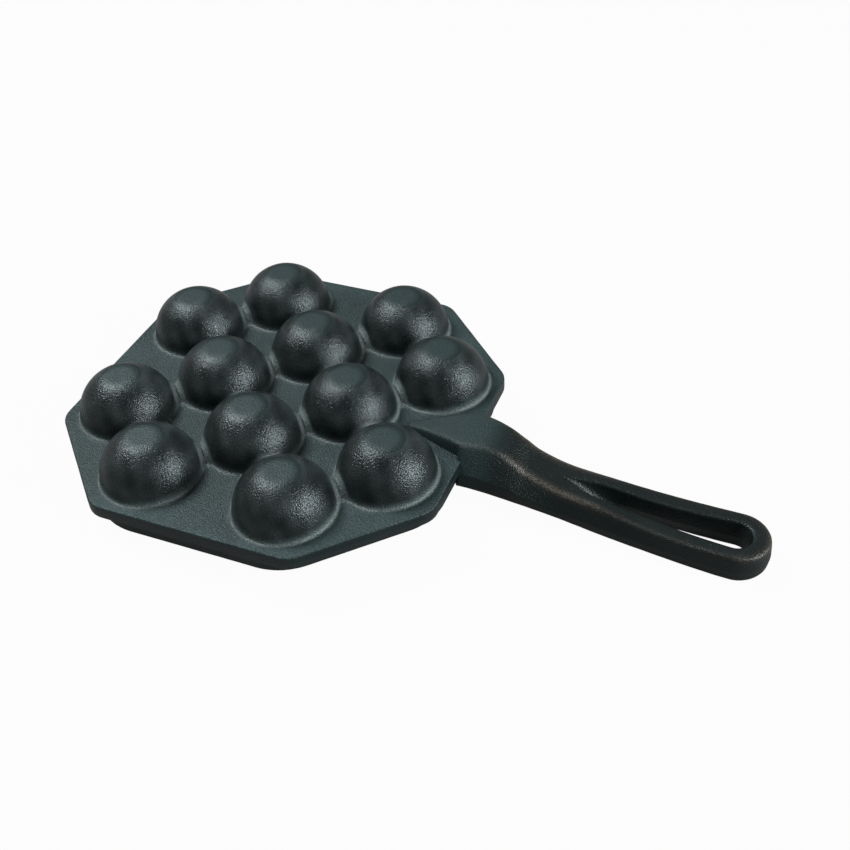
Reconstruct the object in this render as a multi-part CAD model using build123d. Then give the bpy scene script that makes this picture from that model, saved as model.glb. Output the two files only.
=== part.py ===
from build123d import *
from math import asin, atan2, cos, degrees, hypot, radians, sin, sqrt, tan
import os

# A cast-iron gem scone pan lying upside down, domes up, handle to +X.
# It is modelled flat, with z = 0 on the deck between the domes and the
# cooking side below, and laid on its rim and handle heel at the end.

# Cups: a square grid turned 45 degrees, its four corner cups left out
pitch = 48.0
row_count = 4
dome_r = 23.0
dome_h = 21.6
foot_drop = 1.4
cup_wall = 4.2
floor_t = 4.6
mouth_r = 19.6
mouth_round = 1.5
base_round = 2.2
neck_half = 4.6
neck_flare = 2.0
neck_bite = 0.5
foot_round = 2.0
floor_round = 2.0

# Deck and raised rim
deck_t = 7.0
flat_cut = 5.8
rim_w = 5.0
rim_gap = 0.1
rim_deep = 6.5
rim_inset = 2.0
rim_side_inset = 5.0
rim_lip_t = 3.8
deck_corner = 12.0
rim_corner = 30.0
edge_round = 1.0

# Handle, measured out from the deck's edge and down from its top
handle_len = 139.0
end_half = 15.4
heel_back = 13.0
heel_drop = 21.0
heel_len = 16.0
grip_t = 14.4
root_t = 21.6
root_half = 18.5
waist_half = 9.2
waist_low_half = 14.6
side_draft = 0.8
tongue_back = 3.9
tongue_tip_half = 1.5
tongue_half = 13.0
tongue_tip_t = 1.6
tongue_t = 6.6
top_round = 2.2
low_round = 2.0

# Handle curves: share of its length, then share of the way to its end value
top_dip = [(-0.1, 0), (0.05, 0), (0.11, 0.08), (0.17, 0.27), (0.21, 0.42), (0.31, 0.62),
           (0.45, 0.74), (0.61, 0.89), (0.78, 0.98), (1.1, 1.0)]
low_dip = [(-0.1, -0.03), (0.03, 0.0), (0.14, 0.12), (0.31, 0.40), (0.48, 0.64), (0.64, 0.81)]
top_swell = [(-0.1, 0.6), (0.0, 0.5), (0.05, 0.24), (0.11, 0.04), (0.2, 0.0), (0.31, 0.1),
             (0.45, 0.3), (0.61, 0.72), (0.78, 1.0), (1.1, 1.0)]
low_swell = [(-0.1, 1.2), (0.0, 1.0), (0.14, 0.66), (0.31, 0.08), (0.45, 0.0), (0.61, 0.0)]
stations = 16
part_share = 0.42

# Hanging slot in the handle
slot_end_r = 8.0
slot_web = 9.0
slot_long = 88.0
slot_neck_half = 3.8
slot_neck_at = 15.0
slot_ramp = 28.0

# Worked out from the sizes above. A dome is part of a ball that passes the
# deck at dome_r, and its foot is cut foot_drop below the top of that ball.
ball_top = dome_h + foot_drop
ball_z = (ball_top**2 - dome_r**2) / (2 * ball_top)
ball_r = ball_top - ball_z
flare_x = sqrt((ball_r + base_round)**2 - (base_round - ball_z)**2)
cell_out = flare_x + rim_gap
far_cup = (row_count - 1) / 2 * pitch
near_cup = pitch / 2
flat_reach = far_cup * sqrt(2) - flat_cut
web_x = (row_count / 2 - 1) * pitch * sqrt(2)
side_reach = far_cup + cell_out + rim_w
rim_z = -deck_t - rim_deep
heel_z = rim_z - heel_drop
heel_x = flat_reach + handle_len - heel_back
tall = 4 * (dome_h + deck_t + rim_deep + heel_drop)

# The rim's far edge and the handle's heel touch the table together
edge_x = -(flat_reach - rim_inset - edge_round)
edge_z = rim_z + edge_round
span_x = heel_x - edge_x
span_z = edge_z - heel_z
tilt = atan2(span_z, span_x) - asin(edge_round / hypot(span_x, span_z))


def octagon(inset, corner, side_inset=None):
    """Eight-sided outline, its flats this far inside the deck's edge."""
    if side_inset is None:
        side_inset = inset
    flats = Rectangle(2 * (flat_reach - inset), 2 * (flat_reach - inset))
    sides = Rot(0, 0, 45) * Rectangle(2 * (side_reach - side_inset), 2 * (side_reach - side_inset))
    outline = flats & sides
    return fillet(outline.vertices(), corner)


def along(share, knots):
    """Smooth curve through a few (place, value) pairs."""
    slopes = []
    for k, (place, value) in enumerate(knots):
        before = knots[max(k - 1, 0)]
        after = knots[min(k + 1, len(knots) - 1)]
        slopes.append((after[1] - before[1]) / (after[0] - before[0]))
    k = max(n for n in range(len(knots) - 1) if n == 0 or knots[n][0] <= share)
    (x0, y0), (x1, y1) = knots[k], knots[k + 1]
    span = x1 - x0
    t = (share - x0) / span
    rise = t * t * (3 - 2 * t)
    lean = t * (1 - t) * ((1 - t) * slopes[k] - t * slopes[k + 1])
    return y0 + rise * (y1 - y0) + span * lean


def grid_spots():
    """Row, column and centre of each cup, in the turned grid."""
    half = (row_count - 1) / 2
    spots = []
    for row in range(row_count):
        for column in range(row_count):
            i = row - half
            j = column - half
            if abs(i) < half or abs(j) < half:
                spots.append((i, j))
    return spots


def dome_solid():
    """Outside of one cup: a ball with a flat foot and a flared base."""
    touch = ball_r / (ball_r + base_round)
    toe = (flare_x * touch, ball_z + (base_round - ball_z) * touch)
    mid_a = (atan2(ball_z - base_round, -flare_x) - radians(90)) / 2
    flare_mid = (flare_x + base_round * cos(mid_a), base_round + base_round * sin(mid_a))
    foot_r = sqrt(ball_r**2 - (dome_h - ball_z)**2)
    ball_a = (atan2(toe[1] - ball_z, toe[0]) + atan2(dome_h - ball_z, foot_r)) / 2
    ball_mid = (ball_r * cos(ball_a), ball_z + ball_r * sin(ball_a))
    with BuildSketch(Plane.XZ) as profile:
        with BuildLine():
            Polyline((foot_r, dome_h), (0, dome_h), (0, 0), (flare_x, 0))
            ThreePointArc((flare_x, 0), flare_mid, toe)
            ThreePointArc(toe, ball_mid, (foot_r, dome_h))
        make_face()
    ball = revolve(profile.sketch, Axis.Z)
    return fillet(ball.edges().group_by(Axis.Z)[-1], foot_round)


def cavity_solid():
    """Inside of one cup, where the batter goes, with a rounded mouth."""
    inner_r = ball_r - cup_wall
    deck_r = sqrt(inner_r**2 - ball_z**2)
    top = dome_h - floor_t
    floor_r = sqrt(inner_r**2 - (top - ball_z)**2)
    ball_a = (atan2(-ball_z, deck_r) + atan2(top - ball_z, floor_r)) / 2
    ball_mid = (inner_r * cos(ball_a), ball_z + inner_r * sin(ball_a))
    with BuildSketch(Plane.XZ) as profile:
        with BuildLine():
            Polyline((floor_r, top), (0, top), (0, -deck_t), (mouth_r + mouth_round, -deck_t))
            Line((mouth_r + mouth_round, -deck_t), (mouth_r, -deck_t + mouth_round))
            Line((mouth_r, -deck_t + mouth_round), (deck_r, 0))
            ThreePointArc((deck_r, 0), ball_mid, (floor_r, top))
        make_face()
    hollow = revolve(profile.sketch, Axis.Z)
    return fillet(hollow.edges().group_by(Axis.Z)[-1], floor_round)


def neck_solid():
    """Saddle between two domes: a waisted bar about the line of centres."""
    end_r = neck_half + neck_flare
    end_side = sqrt(dome_r**2 - end_r**2)
    end_top = sqrt(ball_r**2 - (end_r - ball_z)**2)
    end_x = min(end_side, end_top) - neck_bite
    with BuildSketch(Plane.XZ) as profile:
        with BuildLine():
            Polyline((end_x, end_r), (end_x, 0), (near_cup, 0), (near_cup, neck_half))
            TangentArc((near_cup, neck_half), (end_x, end_r), tangent=(-1, 0))
        make_face()
    bar = revolve(profile.sketch, Axis.X)
    return bar & Pos(0, 0, pitch / 2) * Box(2 * pitch, pitch, pitch)


def cup(i, j, dome, cavity, neck):
    """One cup with its own square of deck, cut where it meets its neighbours."""
    cell = {}
    shape = dome
    taken = grid_spots()
    for name, step in (("right", (1, 0)), ("left", (-1, 0)), ("back", (0, 1)), ("front", (0, -1))):
        joined = (i + step[0], j + step[1]) in taken
        cell[name] = near_cup if joined else cell_out
        if joined:
            shape += Rot(0, 0, degrees(atan2(step[1], step[0]))) * neck
    low = (-cell["left"], -cell["front"])
    high = (cell["right"], cell["back"])
    size = (high[0] - low[0], high[1] - low[1])
    centre = Pos((low[0] + high[0]) / 2, (low[1] + high[1]) / 2, 0)
    shape += centre * Pos(0, 0, -deck_t / 2) * Box(size[0], size[1], deck_t)
    shape &= centre * Box(size[0], size[1], tall)
    for step in ((1, 1), (1, -1), (-1, 1), (-1, -1)):
        corner = (i + step[0], j + step[1])
        sides = ((i + step[0], j), (i, j + step[1]))
        if corner in taken and not all(side in taken for side in sides):
            block = Pos(pitch / sqrt(2) + pitch / 2, 0, 0) * Box(pitch, pitch, tall)
            shape -= Rot(0, 0, degrees(atan2(step[1], step[0]))) * block
    shape -= cavity
    placed = Rot(0, 0, 45) * Pos(i * pitch, j * pitch, 0) * shape
    return placed & extrude(octagon(rim_w, deck_corner), tall / 2, both=True)


def corner_web(turn):
    """Flat corner of the deck between two outer cups and the rim."""
    start = near_cup + cell_out
    side = 2 * flat_reach
    patch = Rot(0, 0, 45) * Pos(start + side / 2, -start - side / 2, 0) * Rectangle(side, side)
    patch = patch & octagon(rim_w, deck_corner)
    return Rot(0, 0, turn) * extrude(patch, -deck_t)


def deck_edge():
    """Octagonal border of the deck, with its outer edges softened."""
    band = extrude(octagon(0, deck_corner), -deck_t)
    band = fillet(band.edges().group_by(Axis.Z)[-1], edge_round)
    band = fillet(band.edges().group_by(Axis.Z)[0], edge_round)
    return band - extrude(octagon(rim_w, deck_corner), -deck_t)


def rim_block():
    """Outside of the raised rim, filled."""
    block = extrude(Pos(0, 0, -deck_t) * octagon(rim_inset, rim_corner, rim_side_inset), -rim_deep)
    return fillet(block.edges().group_by(Axis.Z)[0], edge_round)


def raised_rim():
    """Rim that stands on the deck's cooking side and keeps the batter in."""
    inner = octagon(rim_inset + rim_lip_t, rim_corner - rim_lip_t, rim_side_inset + rim_lip_t)
    return rim_block() - extrude(Pos(0, 0, -deck_t) * inner, -rim_deep)


def grip_top(share):
    """Height of the handle's top at this share of its length."""
    return tongue_t + along(share, top_dip) * (heel_z + grip_t - tongue_t)


def grip_top_half(share):
    """Half-width of the handle's top at this share of its length."""
    return waist_half + along(share, top_swell) * (end_half - side_draft - waist_half)


def grip_section(share):
    """Six-sided section whose drafted sides meet at the casting's parting line."""
    x = flat_reach + share * handle_len
    root_low = tongue_t - root_t
    heel_share = 1 - heel_back / handle_len
    flat_share = heel_share - heel_len / handle_len
    rise = heel_len * tan(tilt) / (root_low - heel_z)
    foot = [(flat_share, 1 - rise), (heel_share, 1), (1.1, 0.97)]
    top = grip_top(share)
    low = root_low + along(share, low_dip + foot) * (heel_z - root_low)
    top_half = grip_top_half(share)
    plain = waist_low_half + min(1, max(0, share)) * (end_half - waist_low_half)
    swell = along(share, low_swell + [(flat_share, 0.0), (1.1, 0.0)])
    low_half = plain + swell * (root_half - waist_low_half)
    part_z = low + part_share * (top - low)
    outline = Polyline(
        (x, -top_half, top), (x, top_half, top), (x, low_half, part_z),
        (x, low_half - side_draft, low), (x, side_draft - low_half, low), (x, -low_half, part_z), close=True)
    return Face(Wire(outline.edges()))


def rounded(bar, direction, radius, start):
    """Rounds the edges of the bar's broad top or underside, all but its root end."""
    broad = bar.faces().filter_by(lambda face: face.normal_at().Z * direction > 0.5).sort_by(SortBy.AREA)[-1]
    return fillet(broad.edges().filter_by(lambda edge: edge.center().X > start + edge_round), radius)


def grip_bar():
    """Grip that dips from the deck to its heel, waisted behind the deck."""
    start = flat_reach - rim_w
    first = -rim_w / handle_len
    step = (1.02 - first) / (stations - 1)
    bar = loft([grip_section(first + k * step) for k in range(stations)])
    round_x = flat_reach + handle_len - end_half
    with BuildSketch() as plan:
        with Locations(((start + round_x) / 2, 0)):
            Rectangle(round_x - start, 4 * end_half)
        with Locations((round_x, 0)):
            Circle(end_half)
    bar = bar & extrude(plan.sketch, tall, both=True)
    bar = rounded(bar, 1, top_round, start)
    return rounded(bar, -1, low_round, start)


def slot_cut():
    """Pear-shaped hanging slot that starts as a shallow groove."""
    end_x = flat_reach + handle_len - slot_web
    round_x = end_x - slot_end_r
    tip_x = end_x - slot_long
    neck_x = tip_x + slot_neck_at
    tip_top = grip_top((tip_x - flat_reach) / handle_len)
    with BuildSketch() as plan:
        with BuildLine():
            Spline((tip_x, 0), (neck_x, slot_neck_half), (round_x, slot_end_r),
                   tangents=((1, 0.3), (1, 0)))
            ThreePointArc((round_x, slot_end_r), (end_x, 0), (round_x, -slot_end_r))
            Spline((round_x, -slot_end_r), (neck_x, -slot_neck_half), (tip_x, 0),
                   tangents=((-1, 0), (-1, 0.3)))
        make_face()
    with BuildSketch(Plane.XZ) as depth:
        with BuildLine():
            Polyline((tip_x, tip_top), (tip_x + slot_ramp, heel_z), (tip_x + slot_ramp, -tall),
                     (end_x + slot_web, -tall), (end_x + slot_web, tall), (tip_x, tall), close=True)
        make_face()
    return extrude(plan.sketch, 2 * tall, both=True) & extrude(depth.sketch, tall, both=True)


def tongue():
    """Raised wedge that carries the handle in between the two nearest cups."""
    tip_x = web_x - tongue_back
    edge = flat_reach - rim_inset
    root = 0.05
    root_x = flat_reach + root * handle_len
    root_y = grip_top_half(root)
    with BuildSketch() as plan:
        with BuildLine():
            Polyline((tip_x, tongue_tip_half), (edge, tongue_half), (root_x, root_y), (root_x, -root_y),
                     (edge, -tongue_half), (tip_x, -tongue_tip_half), close=True)
        make_face()
    with BuildSketch(Plane.XZ) as side:
        with BuildLine():
            Polyline((tip_x, 0), (tip_x, tongue_tip_t), (root_x, tongue_t), (root_x, 0), close=True)
        make_face()
    return extrude(plan.sketch, tall) & extrude(side.sketch, tall, both=True)


def handle():
    """Tongue and slotted grip in one, clear of the deck and rim."""
    grip = grip_bar() - slot_cut()
    grip &= Pos(flat_reach - rim_inset + handle_len, 0, 0) * Box(2 * handle_len, 4 * root_half, tall)
    shape = grip + tongue()
    return shape - extrude(octagon(0, deck_corner), -deck_t) - rim_block()


def laid_down(pieces):
    """Tip the pan onto its rim and heel and stand its box on the origin."""
    tipped = {}
    for name, piece in pieces.items():
        tipped[name] = Rot(0, -degrees(tilt), 0) * piece
    box = Compound(children=[Compound([piece]) for piece in tipped.values()]).bounding_box()
    shift = Pos(-box.center().X, -box.center().Y, -box.min.Z)
    return {name: shift * piece for name, piece in tipped.items()}


def main():
    os.makedirs("parts", exist_ok=True)
    dome = dome_solid()
    cavity = cavity_solid()
    neck = neck_solid()
    pieces = {}
    for number, (i, j) in enumerate(grid_spots(), 1):
        pieces[f"cup_{number:02d}"] = cup(i, j, dome, cavity, neck)
    for name, turn in (("web_handle", 0), ("web_back", 90), ("web_far", 180), ("web_front", 270)):
        pieces[name] = corner_web(turn)
    pieces["deck_edge"] = deck_edge()
    pieces["raised_rim"] = raised_rim()
    pieces["handle"] = handle()
    for name, piece in laid_down(pieces).items():
        export_step(piece, f"parts/{name}.step")


main()
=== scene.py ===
import bpy
import bmesh
import numpy as np
from math import asin, atan2, cos, pi, radians, sin, sqrt
from mathutils import Matrix, Vector


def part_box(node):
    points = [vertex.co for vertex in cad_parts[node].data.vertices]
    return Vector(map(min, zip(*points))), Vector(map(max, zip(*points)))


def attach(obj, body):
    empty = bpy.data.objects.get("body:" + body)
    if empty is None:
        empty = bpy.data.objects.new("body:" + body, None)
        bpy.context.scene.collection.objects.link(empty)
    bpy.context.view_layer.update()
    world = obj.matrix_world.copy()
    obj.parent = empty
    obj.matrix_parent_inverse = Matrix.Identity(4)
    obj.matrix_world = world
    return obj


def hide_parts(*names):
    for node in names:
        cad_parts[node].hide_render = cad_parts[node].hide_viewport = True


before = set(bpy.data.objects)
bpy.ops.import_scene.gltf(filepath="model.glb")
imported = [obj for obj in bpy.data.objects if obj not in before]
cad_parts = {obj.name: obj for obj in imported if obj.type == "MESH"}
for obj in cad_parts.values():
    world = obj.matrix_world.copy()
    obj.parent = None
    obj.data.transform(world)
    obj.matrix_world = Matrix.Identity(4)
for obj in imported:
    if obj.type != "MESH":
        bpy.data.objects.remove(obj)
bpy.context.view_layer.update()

print("frame loaded")


# Where the pan lies: shapes are worked out flat, in mm, with z = 0 on the deck
def boxMiddle(node):
    low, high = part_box(node)
    return (np.array(low) + np.array(high)) / 2


deck = {"pitch": 48.0, "thick": 7.0, "flat": 96.02, "side": 102.4, "corner": 12.0, "edgeRound": 1.0}
webSpan = boxMiddle("web_handle") - boxMiddle("web_far")
lieAngle = atan2(webSpan[2], webSpan[0])
lieTurn = np.array([[cos(lieAngle), 0, -sin(lieAngle)], [0, 1, 0], [sin(lieAngle), 0, cos(lieAngle)]])
lieOrigin = boxMiddle("deck_edge") + lieTurn @ np.array([0, 0, deck["thick"] / 2]) / 1000


def laidDown(points):    # from the flat frame in mm to where the pan lies in m
    return np.asarray(points, float) @ lieTurn.T / 1000 + lieOrigin


def stoodFlat(points):   # the way back
    return (np.asarray(points, float) - lieOrigin) * 1000 @ lieTurn


# Curves that several pieces share
def smoothStep(t):
    t = np.clip(t, 0, 1)
    return t * t * (3 - 2 * t)


def along(x, knots):     # smooth curve through (place, value) pairs
    xs = np.array([k[0] for k in knots], float)
    ys = np.array([k[1] for k in knots], float)
    slope = np.zeros(len(xs))
    slope[1:-1] = (ys[2:] - ys[:-2]) / (xs[2:] - xs[:-2])
    slope[0] = (ys[1] - ys[0]) / (xs[1] - xs[0])
    slope[-1] = (ys[-1] - ys[-2]) / (xs[-1] - xs[-2])
    k = np.clip(np.searchsorted(xs, x) - 1, 0, len(xs) - 2)
    span = xs[k + 1] - xs[k]
    t = np.clip((x - xs[k]) / span, 0, 1)
    lean = t * (1 - t) * ((1 - t) * slope[k] - t * slope[k + 1])
    return ys[k] + smoothStep(t) * (ys[k + 1] - ys[k]) + span * lean


def softCorner(start, corner, end, count=6):     # points of a curve that rounds a corner off
    return [(1 - t) ** 2 * start + 2 * t * (1 - t) * corner + t * t * end for t in np.linspace(0, 1, count)]


def quarterRound(size, count=6):                 # how far in and how far down, round a quarter circle
    return [(size * (1 - sin(a)), size * (1 - cos(a))) for a in np.linspace(0, pi / 2, count)]


def directions(angles):
    return np.stack([np.cos(angles), np.sin(angles)], -1)


# Meshes: points in, one closed piece out, with the slow waves of a sand casting
casting = {"wander": 0.06, "weld": 0.00004, "thinnest": 0.000005}    # wander in mm, the others in m


def wavePair(a, b, c, ka, kb, kc):
    return np.sin(ka * a + 1.3) * np.cos(kb * b + 0.4) + np.sin(kc * c + ka * b)


def castSkin(x, y, z):   # 0 to 1
    waves = wavePair(x, y, z, 0.23, 0.31, 0.27) + wavePair(y, z, x, 0.41, 0.37, 0.53)
    waves += wavePair(z, x, y, 0.67, 0.59, 0.47)
    return 0.5 + waves / 6


def meshPiece(name, points, faces, more=None):
    mesh = bpy.data.meshes.new(name)
    mesh.from_pydata([tuple(p) for p in laidDown(points)], [], faces)
    build = bmesh.new()
    build.from_mesh(mesh)
    if more:
        build.from_mesh(more)
    bmesh.ops.remove_doubles(build, verts=build.verts, dist=casting["weld"])
    bmesh.ops.dissolve_degenerate(build, edges=build.edges, dist=casting["thinnest"])
    loose = [e for e in build.edges if not e.link_faces]
    bmesh.ops.delete(build, geom=loose, context="EDGES")
    bmesh.ops.recalc_face_normals(build, faces=build.faces)
    openEdges = sum(1 for e in build.edges if len(e.link_faces) != 2)
    volume = build.calc_volume(signed=True)
    if volume < 0:
        bmesh.ops.reverse_faces(build, faces=build.faces)
    build.normal_update()
    spots = stoodFlat([v.co for v in build.verts])
    sink = castSkin(*spots.T) * casting["wander"] / 1000
    for point, depth in zip(build.verts, sink):      # always inwards, so the size holds
        point.co -= point.normal * depth
    build.to_mesh(mesh)
    build.free()
    for face in mesh.polygons:
        face.use_smooth = True
    piece = bpy.data.objects.new(name, mesh)
    bpy.context.scene.collection.objects.link(piece)
    mesh.calc_loop_triangles()
    print(name, len(mesh.vertices), "points,", len(mesh.loop_triangles), "triangles,", openEdges, "open edges,",
          round(volume * 1e6, 1), "cm3")
    return piece


def ringFaces(start, rings, count):
    faces = []
    for r in range(rings - 1):
        for k in range(count):
            a, b = start + r * count + k, start + r * count + (k + 1) % count
            faces.append((a, b, b + count, a + count))
    return faces


# Nodes: a Math node fed with numbers or with other nodes' outputs
def mathNode(tree, kind, *values):
    made = tree.nodes.new("ShaderNodeMath")
    made.operation = kind
    for socket, value in zip(made.inputs, values):
        if isinstance(value, (int, float)):
            socket.default_value = value
        else:
            tree.links.new(value, socket)
    return made.outputs[0]


# Eight-sided outline of the deck, as a distance from its middle at each angle
farAway = 1e9
leastLean = 0.2


def outlineReach(angle, inset, sideInset, corner):
    angle = np.mod(angle, 2 * pi)
    normals = np.arange(8) * pi / 4
    reach = np.where(np.arange(8) % 2 == 0, deck["flat"] - inset, deck["side"] - sideInset)
    lean = np.cos(angle[..., None] - normals)
    out = np.where(lean > leastLean, reach / np.maximum(lean, leastLean), farAway).min(-1)
    for k in range(8):                               # an arc takes over at each corner
        side = directions(np.array([normals[k], normals[k] + pi / 4]))
        centre = np.linalg.solve(side, np.array([reach[k] - corner, reach[(k + 1) % 8] - corner]))
        low, high = [atan2(*(centre + corner * s)[::-1]) for s in side]
        inside = np.mod(angle - low, 2 * pi) < np.mod(high - low, 2 * pi)
        dot = directions(angle) @ centre
        arc = dot + np.sqrt(np.maximum(dot * dot - centre @ centre + corner * corner, 0))
        out = np.where(inside, arc, out)
    return out


# Cups: centres on the turned grid, and each one's share of the deck
cupSizes = {"ball": 23.0, "high": 21.6, "wall": 4.2, "floor": 4.6, "mouth": 19.6, "mouthRound": 1.5,
            "mouthLean": 0.3, "footSoft": 2.6, "footRings": (0.6, 2.4, 4.4), "floorRing": 0.6,
            "floorFlat": 2.5, "floorEase": 0.8, "floorDrop": 0.12, "floorTurn": 0.07, "split": 10.5,
            "segments": 80, "rows": 4}
saddle = {"half": 5.6, "up": -0.5, "soft": 4.4, "blend": 0.8, "away": 99.0}
steps = np.arange(cupSizes["rows"]) - (cupSizes["rows"] - 1) / 2
gridSpots = [(i, j) for i in steps for j in steps if abs(i) < steps[-1] or abs(j) < steps[-1]]
cupCentres = np.array([((i - j) / sqrt(2), (i + j) / sqrt(2)) for i, j in gridSpots]) * deck["pitch"]
cupCount = len(cupCentres)
neighbours = [(a, b) for a in range(cupCount) for b in range(a + 1, cupCount)
              if abs(np.linalg.norm(cupCentres[a] - cupCentres[b]) - deck["pitch"]) < 1]
topReach = (deck["edgeRound"], deck["edgeRound"], deck["corner"] - deck["edgeRound"])
evenAngles = pi / 4 + np.arange(cupSizes["segments"]) * 2 * pi / cupSizes["segments"]


def cupShape():          # one cup's cap, down to where the saddles start, and its cavity
    ball, high, ease = cupSizes["ball"], cupSizes["high"], cupSizes["footSoft"]
    footR = sqrt(ball ** 2 - high ** 2)
    shoulder = atan2(high, footR) - ease / ball
    start, corner = np.array([footR - ease, high]), np.array([footR, high])
    cap = [(r, high) for r in cupSizes["footRings"]]
    cap += softCorner(start, corner, ball * np.array([cos(shoulder), sin(shoulder)]))
    capEnd = asin(cupSizes["split"] / ball)
    cap += [(ball * cos(a), ball * sin(a)) for a in np.linspace(shoulder, capEnd, 12)[1:]]
    inner, top = ball - cupSizes["wall"], high - cupSizes["floor"]
    floorR = sqrt(inner ** 2 - top ** 2)
    mouth, soft, low = cupSizes["mouth"], cupSizes["mouthRound"], -deck["thick"]
    under = [(cupSizes["floorRing"], top), (floorR - cupSizes["floorFlat"], top)]
    under += [(floorR - cupSizes["floorEase"], top - cupSizes["floorDrop"])]
    floorEnd = atan2(top, floorR) - cupSizes["floorTurn"]
    under += [(inner * cos(a), inner * sin(a)) for a in np.linspace(floorEnd, 0, 14)]
    under += [(mouth - cupSizes["mouthLean"], low / 2), (mouth, low + soft)]
    under += [(mouth + soft * (1 - cos(a)), low + soft * (1 - sin(a))) for a in np.linspace(0.3, pi / 2, 5)]
    count = len(evenAngles)
    points, faces = [], []
    for profile in (cap, under):
        base = len(points) * count
        points += [np.column_stack([r * directions(evenAngles), np.full(count, z)]) for r, z in profile]
        faces += ringFaces(base, len(profile), count)
        faces.append(tuple(range(base, base + count)))
    mesh = bpy.data.meshes.new("cupShape")
    mesh.from_pydata([tuple(p) for p in np.concatenate(points)], [], faces)
    return mesh


# Geometry Nodes: the cup repeats on a square grid without its corners, turned and laid down
def cupGridTree():
    tree = bpy.data.node_groups.new("cupGrid", "GeometryNodeTree")
    for name, kind in (("Cup", "Geometry"), ("Spacing", "Float"), ("Rows", "Int"), ("Turn", "Float"),
                       ("Lie Angle", "Float"), ("Place", "Vector"), ("Scale", "Float"), ("Iron", "Material")):
        tree.interface.new_socket(name, in_out="INPUT", socket_type="NodeSocket" + kind)
    tree.interface.new_socket("Cups", in_out="OUTPUT", socket_type="NodeSocketGeometry")
    nodes, links = tree.nodes, tree.links
    take, give = nodes.new("NodeGroupInput"), nodes.new("NodeGroupOutput")
    spacing, rows = take.outputs["Spacing"], take.outputs["Rows"]

    def placed(geometry, turn, place=None, scale=None):
        made = nodes.new("GeometryNodeTransform")
        links.new(geometry, made.inputs["Geometry"])
        links.new(turn, made.inputs["Rotation"])
        if place:
            links.new(place, made.inputs["Translation"])
            links.new(scale, made.inputs["Scale"])
        return made.outputs["Geometry"]

    grid = nodes.new("GeometryNodeMeshGrid")
    span = mathNode(tree, "MULTIPLY", spacing, mathNode(tree, "SUBTRACT", rows, 1.0))
    for axis in ("X", "Y"):
        links.new(span, grid.inputs["Size " + axis])
        links.new(rows, grid.inputs["Vertices " + axis])
    spot, apart = nodes.new("GeometryNodeInputPosition"), nodes.new("ShaderNodeSeparateXYZ")
    links.new(spot.outputs["Position"], apart.inputs[0])
    awayX, awayY = [mathNode(tree, "ABSOLUTE", apart.outputs[k]) for k in (0, 1)]
    limit = mathNode(tree, "MULTIPLY", spacing, mathNode(tree, "SUBTRACT", rows, 1.5))
    corner = mathNode(tree, "GREATER_THAN", mathNode(tree, "ADD", awayX, awayY), limit)
    kept = nodes.new("GeometryNodeDeleteGeometry")
    links.new(grid.outputs["Mesh"], kept.inputs["Geometry"])
    links.new(corner, kept.inputs["Selection"])
    turn, lie = nodes.new("ShaderNodeCombineXYZ"), nodes.new("ShaderNodeCombineXYZ")
    links.new(take.outputs["Turn"], turn.inputs["Z"])
    links.new(mathNode(tree, "MULTIPLY", take.outputs["Lie Angle"], -1.0), lie.inputs["Y"])
    cups = nodes.new("GeometryNodeInstanceOnPoints")
    links.new(placed(kept.outputs["Geometry"], turn.outputs[0]), cups.inputs["Points"])
    links.new(take.outputs["Cup"], cups.inputs["Instance"])
    real, iron = nodes.new("GeometryNodeRealizeInstances"), nodes.new("GeometryNodeSetMaterial")
    links.new(cups.outputs["Instances"], real.inputs["Geometry"])
    laid = placed(real.outputs["Geometry"], lie.outputs[0], take.outputs["Place"], take.outputs["Scale"])
    links.new(laid, iron.inputs["Geometry"])
    links.new(take.outputs["Iron"], iron.inputs["Material"])
    links.new(iron.outputs["Geometry"], give.inputs["Cups"])
    return tree


def cupGridMesh(iron):
    holder = bpy.data.objects.new("cupHolder", cupShape())
    bpy.context.scene.collection.objects.link(holder)
    grid = holder.modifiers.new("cupGrid", "NODES")
    grid.node_group = cupGridTree()
    inputs = {"Spacing": deck["pitch"], "Rows": cupSizes["rows"], "Turn": pi / 4, "Lie Angle": lieAngle,
              "Place": tuple(lieOrigin), "Scale": 0.001, "Iron": iron}
    for item in grid.node_group.interface.items_tree:
        if item.name in inputs:
            grid[item.identifier] = inputs[item.name]
    bpy.context.view_layer.update()
    mesh = bpy.data.meshes.new_from_object(holder.evaluated_get(bpy.context.evaluated_depsgraph_get()))
    holder.modifiers.remove(grid)
    bpy.data.objects.remove(holder)
    print("cups made,", len(mesh.vertices), "points")
    return mesh


# Deck, domes and saddles as one field, below zero inside the metal and blended softly
def castField(p):
    k, soft = saddle["blend"], saddle["soft"]
    total = np.exp(-p[:, 2] / k)
    for centre in cupCentres:
        d = np.sqrt((p[:, 0] - centre[0]) ** 2 + (p[:, 1] - centre[1]) ** 2 + p[:, 2] ** 2) - cupSizes["ball"]
        total += np.exp(-np.clip(d, -20, 60) / k)    # clipped, so that the exponent stays in range
    field = -k * np.log(total)
    neck = np.full(len(p), saddle["away"])
    for a, b in neighbours:
        start, end = cupCentres[a], cupCentres[b]
        run = (end - start) / deck["pitch"] ** 2
        t = np.clip((p[:, 0] - start[0]) * run[0] + (p[:, 1] - start[1]) * run[1], 0, 1)
        dx = p[:, 0] - start[0] - t * (end[0] - start[0])
        dy = p[:, 1] - start[1] - t * (end[1] - start[1])
        neck = np.minimum(neck, np.sqrt(dx * dx + dy * dy + (p[:, 2] - saddle["up"]) ** 2) - saddle["half"])
    h = np.clip(0.5 + 0.5 * (neck - field) / soft, 0, 1)
    return neck + (field - neck) * h - soft * h * (1 - h)


settling = {"rounds": 7, "step": 0.02, "flattest": 0.05, "longest": 1.5}


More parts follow.
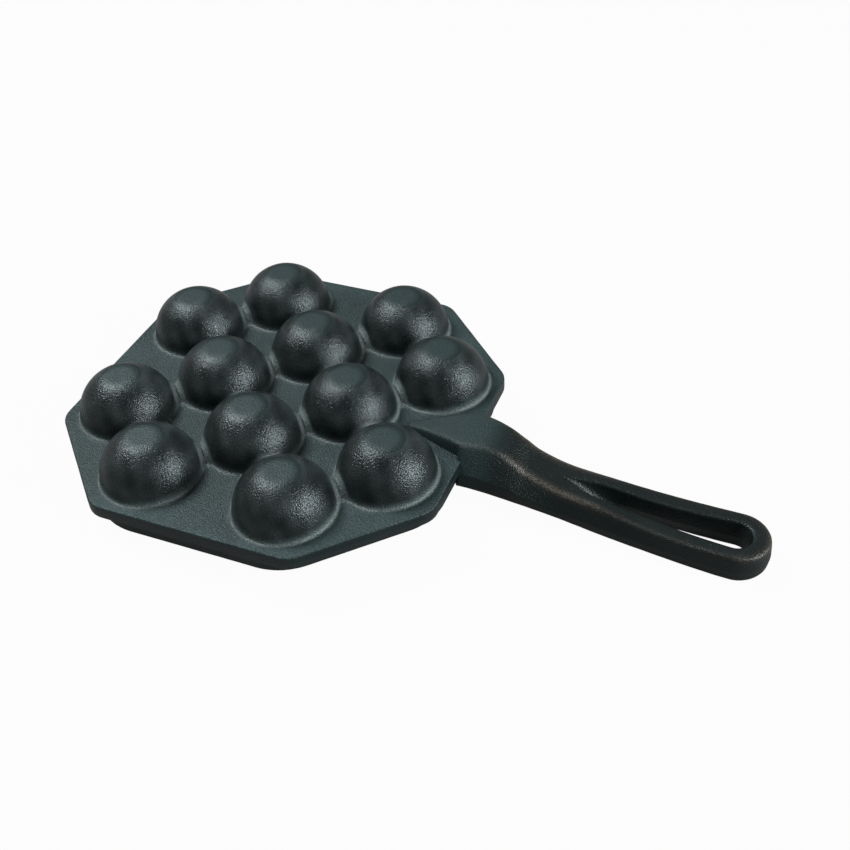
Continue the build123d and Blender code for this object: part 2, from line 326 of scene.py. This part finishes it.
def ontoCasting(p):      # slides points along the field's slope onto its surface
    step = settling["step"]
    for _ in range(settling["rounds"]):
        value = castField(p)
        slope = np.stack([(castField(p + step * e) - castField(p - step * e)) / (2 * step) for e in np.eye(3)], 1)
        size = np.maximum((slope ** 2).sum(1), settling["flattest"])
        p = p - np.clip(value / size, -settling["longest"], settling["longest"])[:, None] * slope
    return p


# A cup's cell ends half-way to the other cups or at the deck's border
cell = {"nearest": 5.0, "farthest": 90.0, "halvings": 45, "fine": 4001, "cap": 200.0, "facing": 1e-6,
        "slack": 1e-3, "skirt": 10, "lowest": 0.03, "apron": 10, "crowd": 1.7, "lift": 0.6, "under": 5,
        "underCrowd": 1.4}


def toNeighbours(angle, others):
    out = np.full(angle.shape, farAway)
    for other in others:
        half = np.linalg.norm(other) / 2
        lean = np.cos(angle - atan2(other[1], other[0]))
        out = np.where(lean > cell["facing"], np.minimum(out, half / np.maximum(lean, cell["facing"])), out)
    return out


def toBorder(angle, centre):
    low, high = np.full(angle.shape, cell["nearest"]), np.full(angle.shape, cell["farthest"])
    for _ in range(cell["halvings"]):
        mid = (low + high) / 2
        x, y = centre[0] + mid * np.cos(angle), centre[1] + mid * np.sin(angle)
        inside = np.hypot(x, y) < outlineReach(np.arctan2(y, x), *topReach)
        low, high = np.where(inside, mid, low), np.where(inside, high, mid)
    return low


def cellReach(n):        # angles and distances from a cup's centre to the edge of its cell
    centre = cupCentres[n]
    others = [c - centre for m, c in enumerate(cupCentres) if m != n]
    angles = evenAngles.copy()
    fine = pi / 4 + np.linspace(0, 2 * pi, cell["fine"])
    gap = np.minimum(toNeighbours(fine, others), cell["cap"]) - toBorder(fine, centre)
    for k in np.nonzero(gap[:-1] * gap[1:] < 0)[0]:  # one angle moves to each corner of the cell
        t = fine[k] + (fine[k + 1] - fine[k]) * gap[k] / (gap[k] - gap[k + 1])
        angles[np.argmin(np.abs(angles - t))] = t
    inner, outer = toNeighbours(angles, others), toBorder(angles, centre)
    return angles, np.minimum(inner, outer), outer < inner + cell["slack"]


def cellRings(centre, angles, reach):            # rings from the cap's edge out to the cell's border
    ball, count = cupSizes["ball"], len(angles)
    rings = []
    for k, lean in enumerate(np.linspace(asin(cupSizes["split"] / ball), cell["lowest"], cell["skirt"])):
        ray = directions(evenAngles + (angles - evenAngles) * k / (cell["skirt"] - 1))
        rings.append(np.column_stack([centre + ray * ball * cos(lean), np.full(count, ball * sin(lean))]))
    for k in range(1, cell["apron"] + 1):
        share = k / cell["apron"]
        spot = centre + ray * (ball + (reach - ball) * share ** cell["crowd"])[:, None]
        rings.append(np.column_stack([spot, np.full(count, cell["lift"] * (1 - share) ** 2)]))
    return np.array(rings), centre + ray * reach[:, None]


# Raised rim: insets from the deck's outline, and how its foot eases into the deck
rim = {"inset": 2.0, "sideInset": 5.0, "corner": 30.0, "lip": 3.8, "deep": 6.45, "round": 1.0, "fillet": 0.9,
       "ease": ((-0.5, -0.8, 0.0), (-0.1, -0.1, -0.15), (0.0, 0.0, -0.7)), "still": 71.0}
rimLip = rim["lip"] + rim["fillet"]
rimInner = (rim["inset"] + rimLip, rim["sideInset"] + rimLip, rim["corner"] - rimLip)


def drawnIn(points):     # brings the deck's border in to the foot of the raised rim
    angle, still = np.arctan2(points[:, 1], points[:, 0]), rim["still"]
    r = np.hypot(points[:, 0], points[:, 1])
    outer, inner = outlineReach(angle, *topReach), outlineReach(angle, *rimInner)
    new = np.where(r > still, still + (r - still) * (inner - still) / (outer - still), r)
    return points * (new / np.maximum(r, 1e-9))[:, None]


def edgeProfile():       # insets, corner and height of each loop round the deck's edge and the rim
    low, edge, corner = -deck["thick"], deck["edgeRound"], deck["corner"]
    flat, side, bend, bottom = rim["inset"], rim["sideInset"], rim["corner"], low - rim["deep"]
    soft, lip, fillet = rim["round"], rim["lip"], rim["fillet"]
    profile = [(x, x, corner - x, -y) for x, y in quarterRound(edge)]
    profile += [(0, 0, corner, low / 2)]
    profile += [(y, y, corner, low + x) for x, y in quarterRound(edge)]
    profile += [(flat + x, side + y, bend, low + z) for x, y, z in rim["ease"]]
    profile += [(flat, side, bend, (low + bottom) / 2)]
    profile += [(flat + y, side + y, bend - soft, bottom + x) for x, y in quarterRound(soft)]
    flat, side, bend = flat + lip, side + lip, bend - lip
    for x, y in quarterRound(soft)[::-1]:
        profile += [(flat - soft + x, side - soft + x, bend + soft - x, bottom + y)]
    profile += [(flat, side, bend, (low + bottom) / 2), (flat, side, bend, low - fillet)]
    for turn in (0.5, 1.0):
        x = fillet * (1 - cos(turn))
        profile += [(flat + x, side + x, bend, low - fillet * (1 - sin(turn)))]
    return profile + [(*rimInner, low)]


def castBody(iron):
    points, faces, loopAngles = [], [], []
    low, mouthEnd = -deck["thick"], cupSizes["mouth"] + cupSizes["mouthRound"]

    def addRings(rings):
        faces.extend(ringFaces(sum(len(p) for p in points), len(rings), len(rings[0])))
        points.extend(rings)

    for n, centre in enumerate(cupCentres):
        angles, reach, onBorder = cellReach(n)
        rings, border = cellRings(centre, angles, reach)
        flat = ontoCasting(rings.reshape(-1, 3)).reshape(rings.shape)
        flat[0] = rings[0]                         # meets the cup's cap
        flat[-1][:, :2] = rings[-1][:, :2]         # the cell's border keeps its place
        flat[-1][onBorder, 2] = 0
        addRings(list(flat))
        edge = rings[-1][onBorder]
        loopAngles.extend(np.arctan2(edge[:, 1], edge[:, 0]))

        start, border = centre + directions(evenAngles) * mouthEnd, drawnIn(border)
        shares = np.linspace(0, 1, cell["under"]) ** cell["underCrowd"]
        addRings([np.column_stack([start + (border - start) * s, np.full(len(start), low)]) for s in shares])

    # Deck edge and raised rim, as loops that follow the deck's border round
    loop = np.unique(np.round(np.mod(loopAngles, 2 * pi), 6))
    loops = []
    for inset, sideInset, corner, z in edgeProfile():
        reach = outlineReach(loop, inset, sideInset, corner)
        loops.append(np.column_stack([directions(loop) * reach[:, None], np.full(len(loop), z)]))
    addRings(loops)
    return meshPiece("panBody", np.concatenate(points), faces, cupGridMesh(iron))


# Handle: a bar whose section runs round the hanging slot, with its tongue
grip = {"length": 139.0, "endHalf": 15.4, "heelBack": 13.0, "heelZ": -34.44, "heelLong": 16.0, "thick": 14.4,
        "rootThick": 21.6, "rootHalf": 18.5, "rootIn": 0.3, "waistHalf": 9.2, "waistLowHalf": 14.6,
        "draft": 0.8, "part": 0.42, "topRound": 2.2, "lowRound": 2.0, "partRound": 0.7, "cornerShare": 0.45,
        "rows": 75, "endRows": 17}
tongue = {"in": 32.0, "tip": 1.5, "tipUp": 0.9, "up": 6.6, "ease": 1.6, "lean": 0.6, "flare": 0.5,
          "sunk": -3.0, "rows": 16, "gap": 0.1}
slot = {"endR": 7.6, "midHalf": 5.2, "midAt": 44.0, "web": 9.0, "long": 88.0, "neckHalf": 3.8, "neckAt": 15.0,
        "ramp": 28.0, "draft": 1.0, "draftFrom": 4.0, "round": 1.6, "roundShare": 0.8, "midRound": 0.6}
topDip = [(-0.1, 0), (0.05, 0), (0.11, 0.08), (0.17, 0.27), (0.21, 0.42), (0.31, 0.62), (0.45, 0.74),
          (0.61, 0.89), (0.78, 0.98), (1.1, 1.0)]
topSwell = [(-0.1, 0.6), (0.0, 0.5), (0.05, 0.24), (0.11, 0.04), (0.2, 0.0), (0.31, 0.1), (0.45, 0.3),
            (0.61, 0.72), (0.78, 1.0), (1.1, 1.0)]
lowSwell = [(-0.1, 1.2), (0.0, 1.0), (0.14, 0.66), (0.31, 0.08), (0.45, 0.0), (0.61, 0.0), (1.1, 0.0)]

# Places along the bar
endX = deck["flat"] + grip["length"]
roundX = endX - grip["endHalf"]
slotRound = endX - slot["web"] - slot["endR"]
tipX = endX - slot["web"] - slot["long"]
throughX = tipX + slot["ramp"]
rootX = deck["flat"] - rim["inset"] + grip["rootIn"]
tongueX = deck["flat"] - tongue["in"]
slotKnots = [(tipX, 0.0), (tipX + slot["neckAt"], slot["neckHalf"]), (tipX + slot["midAt"], slot["midHalf"]),
             (slotRound, slot["endR"])]


def gripSection(x):      # heights and half-widths of the bar at x
    share = (x - deck["flat"]) / grip["length"]
    heelTop, rootLow = grip["heelZ"] + grip["thick"], tongue["up"] - grip["rootThick"]
    heelShare = 1 - grip["heelBack"] / grip["length"]
    flatShare = heelShare - grip["heelLong"] / grip["length"]
    rise = grip["heelLong"] * np.tan(lieAngle) / (rootLow - grip["heelZ"])
    lowDip = [(-0.1, -0.03), (0.03, 0.0), (0.14, 0.12), (0.31, 0.40), (0.48, 0.64), (0.64, 0.81),
              (flatShare, 1 - rise), (heelShare, 1), (1.1, 0.97)]
    top = tongue["up"] + along(share, topDip) * (heelTop - tongue["up"])
    low = rootLow + along(share, lowDip) * (grip["heelZ"] - rootLow)
    topHalf = grip["waistHalf"] + along(share, topSwell) * (grip["endHalf"] - grip["draft"] - grip["waistHalf"])
    plain = grip["waistLowHalf"] + np.clip(share, 0, 1) * (grip["endHalf"] - grip["waistLowHalf"])
    lowHalf = plain + along(share, lowSwell) * (grip["rootHalf"] - grip["waistLowHalf"])
    return top, low, topHalf, lowHalf


def sectionCorners(x, turn):     # from the slot out and under; turn is 0 to 90 degrees round the end
    top, low, topHalf, lowHalf = gripSection(np.array(x))
    half = float(along(np.array(x), slotKnots)) if x > tipX else 0.0
    lowEnd, onTongue, through = lowHalf - grip["draft"], x < rootX - tongue["gap"] / 2, x >= throughX
    if onTongue:                                     # its underside is sunk into the deck
        share = (x - tongueX) / (rootX - tongueX)
        wide = tongue["tip"] + share * (topHalf + tongue["lean"] - tongue["tip"])
        top = tongue["tipUp"] + (1 - (1 - share) ** tongue["ease"]) * (top - tongue["tipUp"])
        topHalf, lowHalf, low = wide - tongue["lean"], wide + tongue["flare"], tongue["sunk"]
        lowEnd = lowHalf
    partZ = 0.0 if onTongue else low + grip["part"] * (top - low)
    ray = np.array([sin(turn), cos(turn)])
    base = np.array([x if turn == 0 else roundX, 0.0])
    slotBase = np.array([x if turn == 0 and x < slotRound else slotRound, 0.0])

    def outer(r, z):
        return np.array([*(base + ray * r), z])

    def inner(r, z):
        return np.array([*(slotBase + ray * max(r, 0)), z])

    ground = top + (low - top) * float(smoothStep((x - tipX) / (throughX - tipX)))
    midZ = partZ if through else (top + ground) / 2
    innerMid = inner(half - slot["draft"] * min(1, half / slot["draftFrom"]), midZ)
    innerEnd = inner(half, low) if through else inner(0, ground)
    lowStart = inner(half, low) if through else np.array([x, 0.0, low])
    corners = [innerEnd, innerMid, inner(half, top), outer(topHalf, top), outer(lowHalf, partZ),
               outer(lowEnd, low), lowStart]
    rounds = [0, slot["midRound"] if through else 0, min(slot["round"], half * slot["roundShare"]),
              grip["topRound"], grip["partRound"], grip["lowRound"], 0]
    return corners, rounds


def sectionRow(x, turn):         # the corners joined up and rounded off
    corners, rounds = sectionCorners(x, turn)
    last = len(corners) - 1
    bends = {last: (corners[last], corners[last])}
    for k in range(1, last):
        back, ahead = corners[k - 1] - corners[k], corners[k + 1] - corners[k]
        backLong, aheadLong = max(np.linalg.norm(back), 1e-9), max(np.linalg.norm(ahead), 1e-9)
        cut = min(rounds[k], grip["cornerShare"] * backLong, grip["cornerShare"] * aheadLong)
        bends[k] = (corners[k] + back * (cut / backLong), corners[k] + ahead * (cut / aheadLong))
    row = [corners[0]]
    for k in range(1, last):
        start, end = bends[k]
        row += softCorner(start, corners[k], end)
        if k > 1:                                    # more points across the broad faces
            row += [end + (bends[k + 1][0] - end) * t for t in (0.33, 0.67)]
    return row + [corners[last]], x >= throughX


def castHandle():
    places = [*np.linspace(tongueX, rootX - 2 * tongue["gap"], tongue["rows"]), rootX - tongue["gap"]]
    stations = [(x, 0) for x in [*places, *np.linspace(rootX, roundX, grip["rows"])]]
    for turn in np.linspace(0, pi / 2, grip["endRows"])[1:]:
        stations.append((roundX + (endX - roundX) * sin(turn), turn))
    halfRows = [sectionRow(x, turn) for x, turn in stations]
    otherSide = np.array([1, -1, 1])
    rows = halfRows + [([p * otherSide for p in row], through) for row, through in halfRows[-2::-1]]
    width = len(rows[0][0])
    faces = []
    for r in range(len(rows) - 1):
        a = r * width
        faces += [(k, k + 1, k + 1 + width, k + width) for k in range(a, a + width - 1)]
        if rows[r][1] != rows[r + 1][1]:             # closes the end of the ramp
            faces.append((a, a + width, a + 2 * width - 1, a + width - 1))
    end = (len(rows) - 1) * width
    faces.append(tuple(range(width)))
    faces.append(tuple(range(end, end + width))[::-1])
    return meshPiece("panHandle", np.array([p for row, _ in rows for p in row]), faces)


# Cast iron: shared grain group, then one material for the body and one for the handle
grainSizes = {"pebbleDetail": 1.5, "pebbleRough": 0.5, "fineDetail": 2.0, "fineRough": 0.6, "fineShare": 0.2,
              "patchScale": 55, "patchDetail": 4}


def grainGroup():
    group = bpy.data.node_groups.new("sandGrain", "ShaderNodeTree")
    for name, value in (("Pebble Size", 0.9), ("Fine Size", 0.35)):
        item = group.interface.new_socket(name, in_out="INPUT", socket_type="NodeSocketFloat")
        item.default_value = value
    for name in ("Height", "Speckle", "Patches"):
        group.interface.new_socket(name, in_out="OUTPUT", socket_type="NodeSocketFloat")
    nodes, links = group.nodes, group.links
    take, give = nodes.new("NodeGroupInput"), nodes.new("NodeGroupOutput")
    place = nodes.new("ShaderNodeTexCoord")

    def noise(detail):
        made = nodes.new("ShaderNodeTexNoise")
        made.inputs["Detail"].default_value = detail
        links.new(place.outputs["Object"], made.inputs["Vector"])
        return made

    def sizedNoise(size, detail, rough):             # size in mm
        made = noise(detail)
        made.inputs["Roughness"].default_value = rough
        links.new(mathNode(group, "DIVIDE", 1000.0, size), made.inputs["Scale"])
        return made.outputs["Fac"]

    pebble = sizedNoise(take.outputs["Pebble Size"], grainSizes["pebbleDetail"], grainSizes["pebbleRough"])
    fine = sizedNoise(take.outputs["Fine Size"], grainSizes["fineDetail"], grainSizes["fineRough"])
    patches = noise(grainSizes["patchDetail"])
    patches.inputs["Scale"].default_value = grainSizes["patchScale"]
    links.new(mathNode(group, "MULTIPLY_ADD", fine, grainSizes["fineShare"], pebble), give.inputs["Height"])
    links.new(fine, give.inputs["Speckle"])
    links.new(patches.outputs["Fac"], give.inputs["Patches"])
    return group


grain = grainGroup()


def ironMaterial(name, looks):
    material = bpy.data.materials.new(name)
    material.use_nodes = True
    tree = material.node_tree
    nodes, links = tree.nodes, tree.links
    shader = nodes["Principled BSDF"]
    cast = nodes.new("ShaderNodeGroup")
    cast.node_tree = grain
    cast.inputs["Pebble Size"].default_value = looks["pebble"]
    cast.inputs["Fine Size"].default_value = looks["fine"]
    speckle, patches = cast.outputs["Speckle"], cast.outputs["Patches"]
    zones, shares = nodes.new("ShaderNodeAttribute"), nodes.new("ShaderNodeSeparateColor")
    zones.attribute_name = "castZones"
    links.new(zones.outputs["Color"], shares.inputs["Color"])
    pebbledAndShaded, foot, worn = shares.outputs[0], shares.outputs[1], shares.outputs[2]
    cook = zones.outputs["Alpha"]

    def feed(value, socket):
        if isinstance(value, (int, float)):
            socket.default_value = value
        elif isinstance(value, tuple):
            socket.default_value = (*value, 1)
        else:
            links.new(value, socket)

    def mixed(share, low, high, colour=False):
        made = nodes.new("ShaderNodeMix")
        made.data_type = "RGBA" if colour else "FLOAT"
        feed(share, made.inputs[0])
        feed(low, made.inputs[6 if colour else 2])
        feed(high, made.inputs[7 if colour else 3])
        return made.outputs[2 if colour else 0]

    def mapped(value, low, high, toLow=0.0, toHigh=1.0):
        made = nodes.new("ShaderNodeMapRange")
        links.new(value, made.inputs["Value"])
        for socket, number in zip(("From Min", "From Max", "To Min", "To Max"), (low, high, toLow, toHigh)):
            made.inputs[socket].default_value = number
        return made.outputs["Result"]

    # The worn share: real edge wear on the handle, and a painted highlight along the body's fillets and saddles
    rubbedAndHighlit = mathNode(tree, "MULTIPLY", worn, mapped(speckle, looks["wearAndHighlightFrom"], looks["wearAndHighlightTo"]))
    sandy = mapped(speckle, 0.3, 0.7, -looks["speckle"], looks["speckle"])
    tone = mathNode(tree, "ADD", mapped(patches, 0.3, 0.7), sandy)
    colour = mixed(tone, looks["dark"], looks["pale"], True)
    rough, depth = looks["deckRough"], looks["deckGrain"]
    # The dome zone's dark colour is painted shade, and the foot zone's lighter colour is partly a painted sheen
    for zone, part in ((pebbledAndShaded, "dome"), (foot, "foot"), (cook, "cook"), (rubbedAndHighlit, "worn")):
        colour = mixed(zone, colour, looks[part + "Colour"], True)
        rough = mixed(zone, rough, looks[part + "Rough"])
        if part != "worn":
            depth = mixed(zone, depth, looks[part + "Grain"])
    links.new(colour, shader.inputs["Base Color"])
    uneven = mapped(speckle, 0.2, 0.8, -looks["roughSpread"], looks["roughSpread"])
    links.new(mathNode(tree, "ADD", rough, uneven), shader.inputs["Roughness"])
    bump = nodes.new("ShaderNodeBump")
    bump.inputs["Strength"].default_value = 1.0
    bump.inputs["Distance"].default_value = 0.001    # the grain's depth is in mm
    links.new(mathNode(tree, "MULTIPLY", cast.outputs["Height"], depth), bump.inputs["Height"])
    links.new(bump.outputs["Normal"], shader.inputs["Normal"])
    shader.inputs["Specular IOR Level"].default_value = looks["shine"]
    shader.inputs["Specular Tint"].default_value = (*looks["tint"], 1)
    return material


# On the body the light worn colour is a painted highlight along the fillets and saddles
castLooks = {"pebble": 0.7, "fine": 0.33, "speckle": 0.25, "roughSpread": 0.06,
             "dark": (0.009, 0.020, 0.0205), "pale": (0.021, 0.038, 0.0385),
             # The dome colour is painted shade, darker than the deck's iron; the foot colour is partly a painted
             # sheen
             "domeColour": (0.0012, 0.0028, 0.003), "footColour": (0.013, 0.025, 0.0252),
             "cookColour": (0.009, 0.012, 0.0122), "wornColour": (0.19, 0.225, 0.224),
             "deckRough": 0.48, "domeRough": 0.27, "footRough": 0.43, "cookRough": 0.42, "wornRough": 0.38,
             "deckGrain": 0.46, "domeGrain": 0.3, "footGrain": 0.24, "cookGrain": 0.1,
             "shine": 0.4, "tint": (0.82, 0.97, 1.0), "wearAndHighlightFrom": 0.36, "wearAndHighlightTo": 0.6}
gripLooks = {"pebble": 0.7, "fine": 0.34, "speckle": 0.25, "roughSpread": 0.06,
             "dark": (0.003, 0.0052, 0.005), "pale": (0.005, 0.0084, 0.008),
             "domeColour": (0.009, 0.011, 0.011), "footColour": (0.014, 0.027, 0.0272),
             "cookColour": (0.009, 0.010, 0.010), "wornColour": (0.13, 0.105, 0.08),
             "deckRough": 0.38, "domeRough": 0.44, "footRough": 0.48, "cookRough": 0.42, "wornRough": 0.34,
             "deckGrain": 0.32, "domeGrain": 0.2, "footGrain": 0.45, "cookGrain": 0.1,
             "shine": 0.32, "tint": (0.86, 0.98, 1.0), "wearAndHighlightFrom": 0.48, "wearAndHighlightTo": 0.62}
castIron = ironMaterial("castIron", castLooks)
gripIron = ironMaterial("gripIron", gripLooks)


# Zones, each 0 to 1 a point: pebbled (with painted shade on the body), smooth foot (with a painted sheen on the
# dome tops), worn edge (real wear on the handle, a painted highlight on the body's fillets and saddles), cooking
# side
def markZones(piece, zonesOf):
    zones = zonesOf(stoodFlat([v.co for v in piece.data.vertices]))
    layer = piece.data.attributes.new("castZones", "FLOAT_COLOR", "POINT")
    layer.data.foreach_set("color", np.stack(zones, 1).astype(np.float32).ravel())


bodyMarks = {"inside": 1.5, "underShare": 0.8, "underReach": 40.0, "underSlack": 0.5, "domeUp": 1.5,
             "domeOver": 3.0, "footOut": 13.0, "footIn": 8.0, "footUp": 15.0, "footOver": 3.0,
             "filletFrom": 0.1, "filletOver": 0.35, "filletUp": 0.05, "filletRise": 0.3, "filletHighlight": 0.9,
             "sideDown": 0.5, "sideOver": 0.5, "sidePebbledShade": 0.7}
gripMarks = {"edgeIn": 0.5, "edgeWide": 1.5, "rubFrom": 12.0, "rubRise": 12.0, "rubTo": 52.0, "rubFall": 26.0,
             "endFrom": 118.0, "endRise": 12.0, "endWorn": 0.8, "leastWorn": 0.25, "rootTo": 4.0,
             "rootFall": 16.0}


def bodyZones(spots):
    m, ball, up = bodyMarks, cupSizes["ball"], spots[:, 2]
    fromCup = np.min([np.hypot(spots[:, 0] - c[0], spots[:, 1] - c[1]) for c in cupCentres], 0)
    fromCentre = np.hypot(fromCup, up)
    inCup = (fromCentre < ball - m["inside"]) & (up < cupSizes["high"] - m["inside"])
    underneath = (up < -m["underShare"] * deck["thick"]) & (fromCup < m["underReach"])
    underneath &= np.abs(up) < deck["thick"] + m["underSlack"]
    cookSide = (inCup | underneath).astype(float)
    shown = 1 - cookSide
    # Domes: pebbled grain, and a dark colour that is painted shade
    onDome = smoothStep((up - m["domeUp"]) / m["domeOver"]) * shown
    # The foot and the dome's top: the foot's smoother finish, and a lighter colour over both that is a painted
    # sheen
    footAndTopSheen = smoothStep((m["footOut"] - fromCup) / m["footIn"])
    footAndTopSheen = footAndTopSheen * smoothStep((up - m["footUp"]) / m["footOver"]) * shown
    # Fillets round the domes and the saddles between them get a painted highlight through the worn channel
    onFillet = smoothStep((fromCentre - ball + m["filletFrom"]) / m["filletOver"])
    onFillet = onFillet * smoothStep((up - m["filletUp"]) / m["filletRise"]) * shown
    # Sides below the deck's top get the dome's painted shade along with its pebble grain
    onSide = smoothStep((-m["sideDown"] - up) / m["sideOver"]) * shown
    pebbledAndShaded = np.maximum(onDome * (1 - onFillet), m["sidePebbledShade"] * onSide)
    return pebbledAndShaded, footAndTopSheen, m["filletHighlight"] * onFillet, cookSide


def gripZones(spots):
    m, out = gripMarks, np.abs(spots[:, 1])
    top, _, topHalf, _ = gripSection(spots[:, 0])
    out = np.where(spots[:, 0] > roundX, np.hypot(spots[:, 0] - roundX, spots[:, 1]), out)
    nearEdge = np.hypot(out - topHalf + m["edgeIn"], spots[:, 2] - top + m["edgeIn"])
    alongGrip = spots[:, 0] - deck["flat"]
    rubbedAndHighlit = smoothStep((alongGrip - m["rubFrom"]) / m["rubRise"])
    rubbedAndHighlit = rubbedAndHighlit * (1 - smoothStep((alongGrip - m["rubTo"]) / m["rubFall"]))
    rubbedAndHighlit = np.maximum(rubbedAndHighlit, m["endWorn"] * smoothStep((alongGrip - m["endFrom"]) / m["endRise"]))
    worn = np.exp(-(nearEdge / m["edgeWide"]) ** 2) * np.maximum(rubbedAndHighlit, m["leastWorn"])
    atRoot = 1 - smoothStep((alongGrip - m["rootTo"]) / m["rootFall"])
    return 0 * worn, atRoot, worn, 0 * worn


panBody = castBody(castIron)
markZones(panBody, bodyZones)
print("pan body made")
panHandle = castHandle()
markZones(panHandle, gripZones)
print("handle made")

for piece, iron in ((panBody, castIron), (panHandle, gripIron)):
    piece.data.materials.clear()
    piece.data.materials.append(iron)
    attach(piece, "root")
bodyNodes = [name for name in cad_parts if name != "handle"]
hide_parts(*bodyNodes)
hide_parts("handle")
print("materials set")


# Floor, light and camera
studio = {"worldLevel": 0.06, "floorWhite": 0.965, "glossyShare": 0.1, "floorGrey": 0.19, "floorRough": 0.8,
          "floorHalf": 4}
boxes = {"leftBox": {"place": (-0.97, 0.15, 1.26), "size": (0.55, 0.55), "power": 27.0},
         "rightBox": {"place": (1.42, 0.0, 0.74), "size": (0.5, 0.5), "power": 34.0},
         "topBox": {"place": (-0.35, 1.0, 1.5), "size": (1.4, 1.0), "power": 2.0}}
lens = {"place": (0.14192, -0.36625, 0.38757), "aim": (-0.00261, 0.01194, 0.015), "roll": 1.41,
        "focal": 48.55, "sensor": 36, "near": 0.01}


def seenShare(tree, camera):     # how far a ray sees the plain white background
    rays = tree.nodes.new("ShaderNodeLightPath")
    shares = {"Is Camera Ray": camera, "Is Glossy Ray": camera * studio["glossyShare"],
              "Is Transmission Ray": camera}
    parts = [mathNode(tree, "MULTIPLY", rays.outputs[name], share) for name, share in shares.items()]
    return mathNode(tree, "MAXIMUM", mathNode(tree, "MAXIMUM", parts[0], parts[1]), parts[2])


def plainFloor():        # looks white to the camera, and throws back as little light as a grey one
    half, grey = studio["floorHalf"], studio["floorGrey"]
    mesh = bpy.data.meshes.new("floor")
    mesh.from_pydata([(-half, -half, 0), (half, -half, 0), (half, half, 0), (-half, half, 0)], [], [(0, 1, 2, 3)])
    floor = bpy.data.objects.new("floor", mesh)
    bpy.context.scene.collection.objects.link(floor)
    material = bpy.data.materials.new("whiteFloor")
    material.use_nodes = True
    tree = material.node_tree
    nodes, links = tree.nodes, tree.links
    shader = nodes["Principled BSDF"]
    shader.inputs["Base Color"].default_value = (grey, grey, grey, 1)
    shader.inputs["Roughness"].default_value = studio["floorRough"]
    white, mix = nodes.new("ShaderNodeEmission"), nodes.new("ShaderNodeMixShader")
    links.new(seenShare(tree, studio["floorWhite"]), mix.inputs[0])
    links.new(shader.outputs[0], mix.inputs[1])
    links.new(white.outputs[0], mix.inputs[2])
    links.new(mix.outputs[0], nodes["Material Output"].inputs["Surface"])
    mesh.materials.append(material)


def turnedTo(place, aim):        # how a lamp or camera turns to look at a point
    return (Vector(aim) - Vector(place)).to_track_quat("-Z", "Y")


def softBox(name, place, size, power):
    data = bpy.data.lights.new(name, "AREA")
    data.shape = "RECTANGLE"
    data.size, data.size_y = size
    data.energy = power
    lamp = bpy.data.objects.new(name, data)
    bpy.context.scene.collection.objects.link(lamp)
    lamp.location = place
    lamp.rotation_euler = turnedTo(place, (0, 0, 0)).to_euler()


def whiteWorld():
    world = bpy.data.worlds.new("studio")
    bpy.context.scene.world = world
    world.use_nodes = True
    tree = world.node_tree
    background, level = tree.nodes["Background"], tree.nodes.new("ShaderNodeMix")
    tree.links.new(seenShare(tree, 1.0), level.inputs[0])
    level.inputs[2].default_value = studio["worldLevel"]
    level.inputs[3].default_value = 1.0
    background.inputs["Color"].default_value = (1, 1, 1, 1)
    tree.links.new(level.outputs[0], background.inputs["Strength"])


def setCamera():
    data = bpy.data.cameras.new("camera")
    data.lens, data.sensor_width, data.clip_start = lens["focal"], lens["sensor"], lens["near"]
    camera = bpy.data.objects.new("camera", data)
    bpy.context.scene.collection.objects.link(camera)
    look = turnedTo(lens["place"], lens["aim"]).to_matrix().to_4x4()
    camera.matrix_world = Matrix.Translation(lens["place"]) @ look @ Matrix.Rotation(radians(lens["roll"]), 4, "Z")
    bpy.context.scene.camera = camera


plainFloor()
for name, box in boxes.items():
    softBox(name, **box)
whiteWorld()
setCamera()
bpy.context.scene.view_settings.view_transform = "Standard"
print("studio set")
